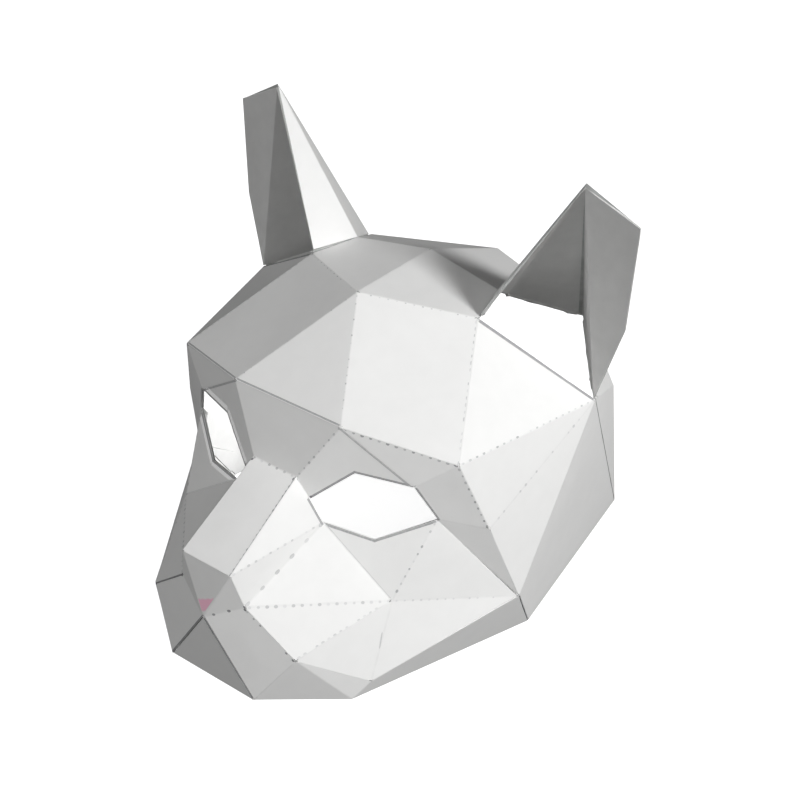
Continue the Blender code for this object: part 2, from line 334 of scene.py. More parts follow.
turned = add(
    dotting,
    "FunctionNodeAlignRotationToVector",
    {"axis": "X", "pivot_axis": "Z"},
    {"Rotation": upright.outputs["Rotation"], "Vector": points.outputs["Tangent"]},
)
# A dot and a strip are both drawn 1 m across here, and their size on the card comes with each one's scale.
dot = add(dotting, "GeometryNodeMeshCircle", {"fill_type": "TRIANGLE_FAN", "Vertices": 10, "Radius": 0.5})
strip = add(
    dotting,
    "GeometryNodeMeshGrid",
    {"Size X": 1.0, "Size Y": 1.0, "Vertices X": 2, "Vertices Y": 3},
)
shape = add(
    dotting,
    "GeometryNodeSwitch",
    {"input_type": "GEOMETRY"},
    {"Switch": given["Solid"], "False": dot.outputs["Mesh"], "True": strip.outputs["Mesh"]},
)
dot_size = add(
    dotting, "ShaderNodeCombineXYZ", {"Z": 1.0}, {"X": given["Dot Length"], "Y": given["Dot Width"]}
)
smallest = add(dotting, "ShaderNodeMath", {"operation": "SUBTRACT", 0: 1.0}, {1: given["Unevenness"]})
uneven = add(
    dotting,
    "FunctionNodeRandomValue",
    {"data_type": "FLOAT", 3: 1.0},
    {2: smallest.outputs["Value"], "Seed": given["Seed"]},
)
dot_scale = add(
    dotting,
    "ShaderNodeVectorMath",
    {"operation": "SCALE"},
    {0: dot_size.outputs["Vector"], "Scale": uneven.outputs[1]},
)
dots = add(
    dotting,
    "GeometryNodeInstanceOnPoints",
    links={
        "Points": left_over.outputs["Geometry"],
        "Instance": shape.outputs["Output"],
        "Rotation": turned.outputs["Rotation"],
        "Scale": dot_scale.outputs["Vector"],
    },
)
tone = add(
    dotting,
    "FunctionNodeRandomValue",
    {"data_type": "FLOAT", "Seed": 7},
    {2: given["Darkest"], 3: given["Palest"]},
)
toned = add(
    dotting,
    "GeometryNodeStoreNamedAttribute",
    {"data_type": "FLOAT", "domain": "INSTANCE", "Name": "tone"},
    {"Geometry": dots.outputs["Instances"], "Value": tone.outputs[1]},
)
real = add(dotting, "GeometryNodeRealizeInstances", links={"Geometry": toned.outputs["Geometry"]})
on_sheet = add(
    dotting, "GeometryNodeProximity", {"target_element": "FACES"}, {0: sheet_info.outputs["Geometry"]}
)
# The marks stand 0.03 mm proud, so that the card never shows through them.
proud = add(
    dotting,
    "ShaderNodeVectorMath",
    {"operation": "SCALE", "Scale": 0.00003},
    {0: outwards.outputs["Value"]},
)
laid = add(
    dotting,
    "GeometryNodeSetPosition",
    links={
        "Geometry": real.outputs["Geometry"],
        "Position": on_sheet.outputs["Position"],
        "Offset": proud.outputs["Vector"],
    },
)
inked = add(
    dotting,
    "GeometryNodeSetMaterial",
    links={"Geometry": laid.outputs["Geometry"], "Material": given["Material"]},
)
add(dotting, "NodeGroupOutput", links={"Dots": inked.outputs["Geometry"]})


def grow(name, lines, tree, **sizes):
    """Runs a tree along straight lines, each a pair of ends, and keeps what it makes as a plain mesh."""
    path = bmesh.new()
    for ends in lines:
        path.edges.new([path.verts.new(end) for end in ends])
    data = bpy.data.meshes.new(name + "_path")
    path.to_mesh(data)
    path.free()
    route = bpy.data.objects.new(name + "_path", data)
    bpy.context.scene.collection.objects.link(route)
    maker = route.modifiers.new("maker", "NODES")
    maker.node_group = tree
    inputs = {item.name: item.identifier for item in tree.interface.items_tree if item.in_out == "INPUT"}
    for key, value in sizes.items():
        maker[inputs[key]] = value
    depsgraph = bpy.context.evaluated_depsgraph_get()
    grown = bpy.data.meshes.new_from_object(route.evaluated_get(depsgraph))
    grown.name = name
    route.modifiers.remove(maker)
    bpy.data.objects.remove(route)
    piece = bpy.data.objects.new(name, grown)
    bpy.context.scene.collection.objects.link(piece)
    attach(piece, "root")
    return piece


LINE_LIFT = 0.0004       # a line of dots runs this far above the card, so its outer face is the nearest


def mark_folds(name, sheet, rows, first=0.002, last=0.001, inset_by=0.0006, **sizes):
    """Dots along rows from corner to corner, set in from a sheet's edge towards a third corner if named."""
    lines = []
    for start, end, *towards in rows:
        a, b = corner[start], corner[end]
        run = (b - a).normalized()
        inset = Vector()
        if towards:
            inset = corner[towards[0]] - a
            inset = (inset - run * inset.dot(run)).normalized() * inset_by
        lift = inset + ((a + b) / 2 - HEART).normalized() * LINE_LIFT
        lines.append((a + run * first + lift, b - run * last + lift))
    grow(name, lines, dotting, **{"Sheet": sheet, "Material": mark_grey, **sizes})


def on_side(side, rows):
    """Rows of corners as they are on the wearer's left, or their twins on the right."""
    return rows if side == "left" else [tuple(twin(name) for name in row) for row in rows]


def both(rows):
    """The same rows on the wearer's left and on the right."""
    return rows + on_side("right", rows)


def cut_lines_and_seam_shadows(name, sheet, rows, width=0.0008, tone=0.45):
    """A solid grey line just inside a sheet's edge: what is left of the line that the knife followed, and
    along the seams of the forehead and the brows with the bridge a painted shadow of the gap.
    """
    mark_folds(
        name,
        sheet,
        rows,
        first=0.0001,
        last=0.0001,
        inset_by=width / 2,
        **{
            "Pitch": 0.0015,
            "Dot Length": 0.00152,
            "Dot Width": width,
            "Solid": True,
            "Unevenness": 0.0,
            "Missing": 0.0,
            "Darkest": tone,
            "Palest": tone + 0.08,
        },
    )


mark_folds(
    "forehead_marks",
    forehead,
    both([("peak", "brow_inner"), ("peak", "ear_front", "brow_inner")]),
    **{"Missing": 0.35, "Darkest": 0.5, "Dot Length": 0.0009, "Dot Width": 0.0007, "Seed": 3},
)
# A grey line along the forehead's lower edge, from across the bridge to the right brow's outer corner:
# painted shadow of the gap at that seam.
cut_lines_and_seam_shadows(
    "forehead_cut_lines",
    forehead,
    [("brow_inner", "~brow_inner", "peak"), ("~brow_inner", "~brow_outer", "peak")],
    width=0.0011,
    tone=0.3,
)
mark_folds(
    "forehead_side_marks",
    forehead,
    both([("ear_front", "brow_outer", "peak")]),
    **{"Pitch": 0.003, "Dot Length": 0.002, "Dot Width": 0.0007, "Darkest": 0.7, "Seed": 21},
)


# Glue in the joints
# White paper glue is drawn along each joint before the tab is pressed home. What squeezes out dries as a
# thin even bead that fills the slit between two sheets, so that most joints look like plain folds.
dried_glue, glue_tree = blank_material("dried_white_paper_glue")
glue_place = add(glue_tree, "ShaderNodeTexCoord").outputs["Object"]
# It dries a hair greyer where it is thin, in stretches of a few millimetres.
glue_cloud = add(glue_tree, "ShaderNodeTexNoise", {"Scale": 220.0, "Detail": 2.0}, {"Vector": glue_place})
glue_tone = add(glue_tree, "ShaderNodeValToRGB", links={"Fac": glue_cloud.outputs["Fac"]})
glue_tone.color_ramp.elements[0].color = linear("#E4E4E3")
glue_tone.color_ramp.elements[1].color = linear("#F0F0EF")
glue_shader = add(
    glue_tree,
    "ShaderNodeBsdfPrincipled",
    {"Roughness": 0.55, "IOR": 1.48, "Specular IOR Level": 0.35},
    {"Base Color": glue_tone.outputs["Color"]},
)
add(glue_tree, "ShaderNodeOutputMaterial", links={"Surface": glue_shader.outputs["BSDF"]})

BEAD_RADIUS = 0.00045    # of the bead in a joint that is pressed home
BEAD_SUNK = 0.00048      # how far its middle lies under the card's outer face
BEAD_END = 0.001         # how far it stops short of a corner
JOINT_REACH = 0.0004     # faces that lie this close to a joint are the ones that it joins

# A round bead along every line of a path, a little thicker here and thinner there.
gluing = bpy.data.node_groups.new("glue_bead", "GeometryNodeTree")
bead_inputs = (
    ("Path", "NodeSocketGeometry", None),
    ("Radius", "NodeSocketFloat", BEAD_RADIUS),
    ("Unevenness", "NodeSocketFloat", 0.08),
    ("Seed", "NodeSocketInt", 1),
    ("Material", "NodeSocketMaterial", None),
)
given = name_sockets(gluing, bead_inputs, "Beads")
joint_lines = add(gluing, "GeometryNodeMeshToCurve", links={"Mesh": given["Path"]})
# The thickness changes every 3 mm.
stretches = add(
    gluing,
    "GeometryNodeResampleCurve",
    {"mode": "LENGTH", "Length": 0.003},
    {"Curve": joint_lines.outputs["Curve"]},
)
thinnest = add(gluing, "ShaderNodeMath", {"operation": "SUBTRACT", 0: 1.0}, {1: given["Unevenness"]})
swelling = add(
    gluing,
    "FunctionNodeRandomValue",
    {"data_type": "FLOAT", 3: 1.0},
    {2: thinnest.outputs["Value"], "Seed": given["Seed"]},
)
section = add(gluing, "GeometryNodeCurvePrimitiveCircle", {"Resolution": 10}, {"Radius": given["Radius"]})
bead = add(
    gluing,
    "GeometryNodeCurveToMesh",
    {"Fill Caps": True},
    {
        "Curve": stretches.outputs["Curve"],
        "Profile Curve": section.outputs["Curve"],
        "Scale": swelling.outputs[1],
    },
)
real_bead = add(gluing, "GeometryNodeRealizeInstances", links={"Geometry": bead.outputs["Mesh"]})
glued = add(
    gluing,
    "GeometryNodeSetMaterial",
    links={"Geometry": real_bead.outputs["Geometry"], "Material": given["Material"]},
)
add(gluing, "NodeGroupOutput", links={"Beads": glued.outputs["Geometry"]})

card_faces = bmesh.new()
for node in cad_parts.values():
    card_faces.from_mesh(node.data)
near_joint = BVHTree.FromBMesh(card_faces)
card_faces.free()


def glue_joints(name, rows, radius=BEAD_RADIUS):
    """Beads along joints from corner to corner, each sunk to fill the slit between two sheets."""
    lines = []
    for start, end in rows:
        a, b = corner[start], corner[end]
        run = (b - a).normalized()
        beside = near_joint.find_nearest_range((a + b) / 2, JOINT_REACH)
        # The triangles of one panel face the same way, and count once.
        facings = {tuple(round(part, 2) for part in found[1]): found[1] for found in beside}
        outwards = sum(facings.values(), Vector())
        outwards = (outwards - run * outwards.dot(run)).normalized()
        sunk = outwards * -BEAD_SUNK
        lines.append((a + run * BEAD_END + sunk, b - run * BEAD_END + sunk))
    beads = grow(name, lines, gluing, Radius=radius, Material=dried_glue)
    beads.data.shade_smooth()


# Crown
# Two sheets, one for each half, that close the top of the head from the peak back to the nape. They are
# glued together over a tab along the middle line, and each lets the ear stand in its slot.
place_corners(
    crown=(0, 46.1, 130.2),
    nape=(0, 97.2, 108.4),
    ear_inner=(35.6, 43, 125.2),
    ear_back=(56.7, 77.7, 105.1),
)
for side in ("left", "right"):
    sheet = finish_sheet("crown_" + side)
    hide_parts("crown_" + side)
    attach(sheet, "root")
glue_joints("crown_glue", both([("peak", "ear_front")]) + [("peak", "crown"), ("crown", "nape")])


# Temples
# One sheet on each side, a fan of narrow facets that turns the head from the ear down to the lower rim.
# Its folds all meet at the corner below the ear, where the card was scored most.
place_corners(
    temple=(86, 38.9, 95.7),
    cheekbone=(77.8, -20.5, 64.7),
    cheek=(86.3, -9.5, 27.7),
    rear_foot=(69.3, 98.6, 0),
    jaw_corner=(81.7, 6.7, 0),
)
for side in ("left", "right"):
    fan = [("cheekbone", "temple"), ("cheek", "temple"), ("cheek", "rear_foot"), ("temple", "rear_foot")]
    sheet = finish_sheet("temple_" + side, on_side(side, fan))
    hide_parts("temple_" + side)
    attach(sheet, "root")
    mark_folds(
        "temple_marks_" + side,
        sheet,
        on_side(side, [("brow_outer", "temple")]),
        **{"Dot Length": 0.0015, "Dot Width": 0.0013, "Missing": 0.05, "Darkest": 0.5, "Seed": 5},
    )
    mark_folds(
        "temple_faint_marks_" + side,
        sheet,
        on_side(side, [("cheekbone", "temple")]),
        **{"Dot Length": 0.0015, "Dot Width": 0.0013, "Missing": 0.3, "Darkest": 0.75, "Seed": 6},
    )
    free_edge = on_side(side, [("ear_front", "temple", "brow_outer")])
    cut_lines_and_seam_shadows("temple_cut_lines_" + side, sheet, free_edge, width=0.0016, tone=0.2)
    glued_edges = on_side(side, [("temple", "rear_foot", "cheek"), ("cheek", "jaw_corner", "rear_foot")])
    cut_lines_and_seam_shadows("temple_back_lines_" + side, sheet, glued_edges, width=0.0007, tone=0.3)
glue_joints("temple_glue", both([("ear_front", "brow_outer")]))


# Rear sides
# A small sheet behind each temple that turns the wall inwards and ends in the open back's edge.
place_corners(rear_elbow=(72.2, 79.9, 74.8))
for side in ("left", "right"):
    sheet = finish_sheet("rear_side_" + side)
    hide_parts("rear_side_" + side)
    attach(sheet, "root")


# Brows
# A folded strip over each eye that runs down beside it to the cheek. Its lower edge is the eye hole's
# outer rim, cut with a knife and left bare.
place_corners(eye_upper=(53.8, -36.9, 83.1), eye_outer=(60.8, -31.2, 67.7))
EYE_LINE = {"width": 0.0009, "tone": 0.3}    # the grey line round an eye hole


def blot_corners(name, sheet, rows, first, length, width, darkest=0.0, palest=0.1):
    """One blot of graphite near the start of each row, such as where the pencil stopped at a corner."""
    mark_folds(
        name,
        sheet,
        rows,
        first=first,
        **{
            "Pitch": 1.0,
            "Dot Length": length,
            "Dot Width": width,
            "Missing": 0.0,
            "Darkest": darkest,
            "Palest": palest,
        },
    )


for side in ("left", "right"):
    sheet = finish_sheet("brow_" + side, on_side(side, [("cheekbone", "eye_outer")]))
    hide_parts("brow_" + side)
    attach(sheet, "root")
    rows = [("brow_inner", "brow_outer", "eye_upper"), ("brow_outer", "cheekbone", "eye_upper")]
    rows = on_side(side, rows)
    if side == "right":
        # This side's upper dots run together into a thin line.
        cut_lines_and_seam_shadows("brow_line_right", sheet, rows[:1], width=0.0006, tone=0.3)
        rows = rows[1:]
    mark_folds(
        "brow_marks_" + side,
        sheet,
        rows,
        inset_by=0.0008,
        **{
            "Dot Length": 0.0015,
            "Dot Width": 0.0013,
            "Missing": 0.0,
            "Darkest": 0.3,
            "Palest": 0.75,
            "Seed": 8,
        },
    )
    blots = [("brow_outer", "brow_inner", "eye_upper"), ("cheekbone", "brow_outer", "eye_upper")]
    blot_corners("brow_blots_" + side, sheet, on_side(side, blots), 0.0012, 0.0024, 0.0016)
    rim = on_side(side, [("eye_upper", "eye_outer", "brow_outer")])
    cut_lines_and_seam_shadows("brow_cut_line_" + side, sheet, rim, **EYE_LINE)
glue_joints(
    "brow_glue",
    both([("brow_inner", "brow_outer"), ("brow_outer", "cheekbone"), ("cheekbone", "cheek")]),
)


# Painted glow on the rims
# Card this thin lets light through, and the rims of the shaded eye hole on the right have the bright
# ground behind them. A paler band beside their grey line glows with painted light in its place.
rim_painted_glow = card("card_rim_painted_glow", "#F1F1F0", "#EFEFEE", 0.62, 0.00003)
rim_glow_shader = next(node for node in rim_painted_glow.node_tree.nodes if node.bl_idname == "ShaderNodeBsdfPrincipled")
rim_glow_shader.inputs["Emission Color"].default_value = linear("#FFFFFF")
rim_glow_shader.inputs["Emission Strength"].default_value = 0.16


def paint_rim_glow(name, sheet, rows, width=0.0022):
    """The paler band of painted glow, on the inner side of the grey line that cut_lines_and_seam_shadows
    leaves at a sheet's edge.
    """
    mark_folds(
        name,
        sheet,
        rows,
        first=0.0006,
        last=0.0006,
        inset_by=EYE_LINE["width"] + width / 2,
        **{
            "Pitch": 0.002,
            "Dot Length": 0.00202,
            "Dot Width": width,
            "Solid": True,
            "Unevenness": 0.0,
            "Missing": 0.0,
            "Material": rim_painted_glow,
        },
    )


# Bridge
# One sheet across the middle: the brow between the eyes, the flat top of the snout, and the two flaps
# that reach out over the eyes and form the holes' upper rims.
place_corners(
    eye_inner=(16.6, -53.1, 70),
    eye_top=(32.3, -45.2, 84.8),
    bridge_top=(11, -54.2, 78.5),
    bridge_end=(12.3, -94.7, 57.4),
)
bridge = finish_sheet("bridge")
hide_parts("bridge")
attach(bridge, "root")
mark_folds(
    "bridge_marks",
    bridge,
    [("bridge_top", "brow_inner")],
    **{
        "Dot Length": 0.0014,
        "Dot Width": 0.0012,
        "Missing": 0.05,
        "Darkest": 0.5,
        "Palest": 0.85,
        "Seed": 9,
    },
)
mark_folds(
    "bridge_side_marks",
    bridge,
    [("bridge_top", "bridge_end", "~bridge_top")],
    inset_by=0.0003,
    **{"Pitch": 0.0022, "Dot Length": 0.0017, "Missing": 0.1, "Darkest": 0.2, "Palest": 0.7, "Seed": 22},
)
cut_lines_and_seam_shadows(
    "bridge_side_line",
    bridge,
    [("bridge_top", "bridge_end", "~bridge_top")],
    width=0.0005,
    tone=0.6,
)
mark_folds(
    "bridge_cross_marks",
    bridge,
    [("bridge_top", "~bridge_top")],
    **{"Dot Length": 0.0014, "Dot Width": 0.0012, "Missing": 0.1, "Darkest": 0.55, "Seed": 10},
)
cut_lines_and_seam_shadows(
    "bridge_cut_lines",
    bridge,
    both([("eye_inner", "eye_top", "bridge_top"), ("eye_top", "eye_upper", "brow_inner")]),
    **EYE_LINE,
)
# Painted glow beside the upper rims of the right eye hole.
paint_rim_glow(
    "bridge_lit_rims",
    bridge,
    [("~eye_inner", "~eye_top", "~bridge_top"), ("~eye_top", "~eye_upper", "~brow_inner")],
)
# A grey line on the bridge along each brow's seam: painted shadow of the gap there.
brow_edges = both([("brow_inner", "eye_upper", "eye_top")])
cut_lines_and_seam_shadows("bridge_brow_lines", bridge, brow_edges, width=0.0012, tone=0.5)
blot_corners(
    "bridge_corner_blots",
    bridge,
    both([("brow_inner", "eye_upper", "bridge_top")]),
    0.0002,
    0.0036,
    0.0018,
    darkest=0.3,
    palest=0.4,
)
glue_joints("bridge_glue", both([("brow_inner", "eye_upper")]) + [("brow_inner", "~brow_inner")])
blot_corners(
    "bridge_blots",
    bridge,
    both([("bridge_top", "bridge_end", "~bridge_top"), ("eye_inner", "eye_top", "bridge_top")]),
    0.0008,
    0.0018,
    0.0014,
)


# Muzzle sides
# One sheet on each side of the snout, folded into four facets between the bridge, the nose and the cheek.
place_corners(
    eye_bottom=(41.7, -45.4, 57.6),
    eye_lower=(22.4, -52.5, 61),
    nostril=(16.1, -92.1, 42.3),
    lip=(37, -88, 23.6),
    muzzle_corner=(54.1, -50.7, 37),
)
for side in ("left", "right"):
    sheet = finish_sheet("muzzle_" + side)
    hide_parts("muzzle_" + side)
    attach(sheet, "root")
    mark_folds(
        "muzzle_marks_" + side,
        sheet,
        on_side(side, [("nostril", "muzzle_corner")]),
        **{"Dot Length": 0.0016, "Dot Width": 0.0014, "Missing": 0.05, "Darkest": 0.65, "Seed": 11},
    )
    mark_folds(
        "muzzle_faint_marks_" + side,
        sheet,
        on_side(side, [("bridge_end", "eye_lower")]),
        **{"Dot Length": 0.0016, "Dot Width": 0.0012, "Missing": 0.15, "Darkest": 0.75, "Seed": 12},
    )
    mark_folds(
        "muzzle_broad_marks_" + side,
        sheet,
        on_side(side, [("nostril", "eye_lower")]),
        **{
            "Pitch": 0.0071,
            "Dot Length": 0.0026,
            "Dot Width": 0.0015,
            "Unevenness": 0.15,
            "Missing": 0.0,
            "Darkest": 0.65,
            "Palest": 0.9,
            "Seed": 13,
        },
    )
    mark_folds(
        "muzzle_edge_marks_" + side,
        sheet,
        on_side(side, [("lip", "muzzle_corner", "nostril")]),
        **{
            "Pitch": 0.0026,
            "Dot Length": 0.0016,
            "Dot Width": 0.0012,
            "Missing": 0.15,
            "Darkest": 0.8,
            "Seed": 14,
        },
    )
    rim = on_side(side, [("eye_lower", "eye_inner", "bridge_end")])
    cut_lines_and_seam_shadows("muzzle_cut_line_" + side, sheet, rim, **EYE_LINE)
glue_joints("muzzle_glue", both([("bridge_top", "bridge_end"), ("bridge_top", "eye_inner")]))


# Nose
# One sheet folded round the tip of the snout: a small triangle in front, two sides and the lip panels.
place_corners(nose_tip=(0, -98.6, 33.1), chin=(21.5, -96.2, 0))
nose = finish_sheet("nose")
# A pink pencil smudge sits low on the front triangle, one stroke that rises towards the left and fades at
# its edges. It starts 3 mm over the nose's point and is 5 mm high.
SMUDGE_RISE = 0.49                   # how much it rises for each millimetre to the left
SMUDGE_FOOT = (0.0361, 0.0369)       # the heights, on the middle line, between which it fades in
SMUDGE_TOP = (0.0415, 0.0424)        # and those between which it fades out
SMUDGE_FRAY = 0.0012                 # how far its edges wander
smudged_card = card("pink_smudged_card_face", "#F1F1F0", "#EFEFEE", 0.62, 0.00003)
smudge_tree = smudged_card.node_tree
smudge_place = add(smudge_tree, "ShaderNodeTexCoord").outputs["Object"]
smudge_height = add(smudge_tree, "ShaderNodeSeparateXYZ", links={"Vector": smudge_place})
smudge_edge = add(smudge_tree, "ShaderNodeTexNoise", {"Scale": 700.0}, {"Vector": smudge_place})
smudge_level = add(
    smudge_tree,
    "ShaderNodeMath",
    {"operation": "MULTIPLY_ADD", 1: -SMUDGE_RISE},
    {0: smudge_height.outputs["X"], 2: smudge_height.outputs["Z"]},
)
smudge_rough = add(
    smudge_tree,
    "ShaderNodeMath",
    {"operation": "MULTIPLY_ADD", 1: SMUDGE_FRAY},
    {0: smudge_edge.outputs["Fac"], 2: smudge_level.outputs["Value"]},
)
smudge_top = add(
    smudge_tree,
    "ShaderNodeMapRange",
    {"From Min": SMUDGE_TOP[0], "From Max": SMUDGE_TOP[1], "To Min": 1.0, "To Max": 0.0},
    {"Value": smudge_rough.outputs["Value"]},
)
smudge_foot = add(
    smudge_tree,
    "ShaderNodeMapRange",
    {"From Min": SMUDGE_FOOT[0], "From Max": SMUDGE_FOOT[1]},
    {"Value": smudge_rough.outputs["Value"]},
)
smudge_share = add(
    smudge_tree,
    "ShaderNodeMath",
    {"operation": "MULTIPLY"},
    {0: smudge_top.outputs["Result"], 1: smudge_foot.outputs["Result"]},
)
smudge_paper = next(node for node in smudge_tree.nodes if node.bl_idname == "ShaderNodeValToRGB")
smudge_shader = next(node for node in smudge_tree.nodes if node.bl_idname == "ShaderNodeBsdfPrincipled")
smudge_colour = add(
    smudge_tree,
    "ShaderNodeMix",
    {"data_type": "RGBA", 7: linear("#FFC8DC")},
    {0: smudge_share.outputs["Value"], 6: smudge_paper.outputs["Color"]},
)
smudge_tree.links.new(smudge_colour.outputs[2], smudge_shader.inputs["Base Color"])
nose.data.materials.append(smudged_card)
front_top = corner["~bridge_end"] - corner["bridge_end"]
front_facing = front_top.cross(corner["nose_tip"] - corner["bridge_end"]).normalized()
IN_FRONT = 0.985         # a face of the front triangle, bow and all, looks its way by at least this share
for face in nose.data.polygons:
    if face.material_index == FACE and abs(face.normal.dot(front_facing)) > IN_FRONT:
        face.material_index = len(nose.data.materials) - 1
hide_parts("nose")
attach(nose, "root")
mark_folds(
    "nose_marks",
    nose,
    [("nose_tip", "nostril")],
    first=0.0053,
    last=0.0,
    **{
        "Pitch": 0.0067,
        "Dot Length": 0.0017,
        "Dot Width": 0.0013,
        "Unevenness": 0.2,
        "Missing": 0.0,
        "Darkest": 0.05,
        "Palest": 0.3,
        "Seed": 15,
    },
)
mark_folds(
    "nose_edge_marks",
    nose,
    [("nostril", "lip", "chin")],
    **{"Missing": 0.4, "Darkest": 0.1, "Seed": 16},
)
cut_lines_and_seam_shadows("nose_side_line", nose, [("~nostril", "~lip", "~chin")], width=0.0008, tone=0.0)
glue_joints(
    "nose_glue",
    both([("bridge_end", "nostril"), ("nostril", "lip")]) + [("bridge_end", "~bridge_end")],
)
cut_lines_and_seam_shadows("nose_cut_lines", nose, both([("nose_tip", "chin", "lip")]), width=0.0010, tone=0.1)
blot_corners(
    "nose_blots",
    nose,
    both([("lip", "nostril", "chin"), ("nostril", "lip", "chin")]),
    0.0008,
    0.0018,
    0.0014,
)


# Chin
# A single triangle of card that closes the front below the nose, down to the lower rim.
chin = finish_sheet("chin")
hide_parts("chin")
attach(chin, "root")


# Cheeks
# One sheet under each eye. Its upper edge is the eye hole's lower rim, and its folds run from the
# muzzle's corner to the cheek and the jaw.
place_corners(jaw_fold=(56.5, -66.5, 7.8))
# The ends of the scratch on the left cheek.
place_corners(stroke_top=(54.8, -56.8, 27.1), stroke_foot=(56.1, -60.7, 18.8))
for side in ("left", "right"):
    sheet = finish_sheet("cheek_" + side, on_side(side, [("jaw_fold", "muzzle_corner")]))
    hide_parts("cheek_" + side)
    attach(sheet, "root")
    mark_folds(
        "cheek_marks_" + side,
        sheet,
        on_side(side, [("eye_outer", "muzzle_corner")]),
        **{"Dot Length": 0.0015, "Dot Width": 0.0013, "Missing": 0.3, "Darkest": 0.45, "Seed": 17},
    )
    mark_folds(
        "cheek_faint_marks_" + side,
        sheet,
        on_side(side, [("muzzle_corner", "cheek")]),
        **{"Missing": 0.4, "Darkest": 0.85, "Seed": 18},
    )
    rim = [("eye_outer", "eye_bottom", "muzzle_corner"), ("eye_bottom", "eye_lower", "muzzle_corner")]
    rim = on_side(side, rim)
    cut_lines_and_seam_shadows("cheek_cut_lines_" + side, sheet, rim, **EYE_LINE)
    front_edge = on_side(side, [("eye_lower", "muzzle_corner", "eye_bottom")])
    cut_lines_and_seam_shadows("cheek_side_line_" + side, sheet, front_edge, width=0.0005, tone=0.8)
    # Painted glow beside the lower rims of the right eye hole.
    if side == "right":
        paint_rim_glow("cheek_lit_rims", sheet, rim, width=0.0016)
    if side == "left":
        # The scratch is one long blot, with its middle 4.5 mm down the stroke.
        stroke = [("stroke_top", "stroke_foot")]
        blot_corners("cheek_scratch", sheet, stroke, 0.0045, 0.0095, 0.0009, darkest=0.7, palest=0.75)
glue_joints(
    "cheek_glue",
    both([("lip", "muzzle_corner"), ("muzzle_corner", "eye_lower"), ("eye_outer", "cheek")]),
)


# Jaws
# The lowest sheet on each side, from the chin back to the rim's rear corner. The mask stands on its edge.
place_corners(jaw_foot=(51.8, -72.6, 0))
for side in ("left", "right"):
    sheet = finish_sheet("jaw_" + side)
    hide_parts("jaw_" + side)
    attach(sheet, "root")
glue_joints("jaw_glue", both([("lip", "jaw_fold"), ("jaw_fold", "cheek"), ("lip", "chin")]))


# Ears
# One sheet each, folded into a pointed shell that is open to the front above a hole, with a flap on the
# outer side. Three tabs hold it to the crown and the rear side.
place_corners(
    ear_tip=(73.5, 39.1, 185.3),
    ear_shoulder=(95.7, 42.4, 172),
    ear_elbow=(94.3, 41.6, 129.2),
)
# A point in front of each ear's open side, which the reverse of its card faces; the faces that look at it
# take the painted shade of the inside.
BEFORE_EAR = {"left": Vector((0.060, 0.0, 0.140)), "right": Vector((-0.060, 0.0, 0.140))}
PINCH = {"left": 0.0015, "right": 0.004}     # how far a tab reaches into the hole once it is pinched
TAB_DEPTH = 0.0003       # what stands less than this above the plane of the hole is a tab
# The hand that folded the left ear left its flap leaning forward, by this much at the shoulder.
LEAN = Vector((0.0035, -0.0069, 0.0047))
for side in ("left", "right"):
    sheet = finish_sheet("ear_" + side, inside=BEFORE_EAR[side])
    joints = on_side(side, [("ear_front", "ear_inner"), ("ear_inner", "ear_back"), ("ear_back", "temple")])
    rim = [corner[name] for name in dict.fromkeys(name for joint in joints for name in joint)]
    middle = sum(rim, Vector()) / len(rim)
    up = (rim[1] - rim[3]).cross(rim[2] - rim[0]).normalized()
    if up.z < 0:
        up.negate()
    # The tabs turn under the crown. Their folds were pinched flat with the fingers, the left ear's more.
    for vertex in sheet.data.vertices:
        if (vertex.co - middle).dot(up) > TAB_DEPTH:
            continue
        feet = []
        for start, end in joints:
            run = corner[end] - corner[start]
            along = (vertex.co - corner[start]).dot(run) / run.length_squared
            feet.append(corner[start] + run * min(max(along, 0.0), 1.0))
        foot = min(feet, key=lambda point: (vertex.co - point).length)
        reach = vertex.co - foot
        if reach.length > PINCH[side] and reach.dot(middle - foot) > 0:
            vertex.co = foot + reach * (PINCH[side] / reach.length)
    if side == "left":
        crease = corner["temple"] - corner["ear_tip"]
        outwards = corner["ear_shoulder"] - corner["ear_tip"]
        outwards -= crease * (outwards.dot(crease) / crease.length_squared)
        for vertex in sheet.data.vertices:
            share = (vertex.co - corner["ear_tip"]).dot(outwards) / outwards.length_squared
            vertex.co += LEAN * max(share, 0.0)
    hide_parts("ear_" + side)
    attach(sheet, "root")
glue_joints("ear_glue", both([("ear_front", "ear_inner"), ("ear_inner", "ear_back")]))
# Between the ear and the rear side the slit is wider, and so is its bead.
glue_joints("ear_foot_glue", both([("ear_back", "temple")]), radius=0.001)


# Setting
# A plain pale floor, a close soft key light at the wearer's left, and weaker soft lights from above, from
# the front and from the other side. The camera stands where the photograph was taken from.
FLOOR_HALF = 6           # half the floor's width, in metres
floor_data = bpy.data.meshes.new("studio_floor")
floor_data.from_pydata(
    [(x * FLOOR_HALF, y * FLOOR_HALF, 0) for x, y in ((-1, -1), (1, -1), (1, 1), (-1, 1))],
    [],
    [(0, 1, 2, 3)],
)
floor = bpy.data.objects.new("studio_floor", floor_data)
bpy.context.scene.collection.objects.link(floor)
floor_paint, floor_tree = blank_material("matt_studio_floor")
floor_place = add(floor_tree, "ShaderNodeTexCoord").outputs["Object"]
floor_cloud = add(floor_tree, "ShaderNodeTexNoise", {"Scale": 3.0}, {"Vector": floor_place})
floor_tone = add(floor_tree, "ShaderNodeValToRGB", links={"Fac": floor_cloud.outputs["Fac"]})
floor_tone.color_ramp.elements[0].color = linear("#F6F6F6")
floor_tone.color_ramp.elements[1].color = linear("#FAFAFA")
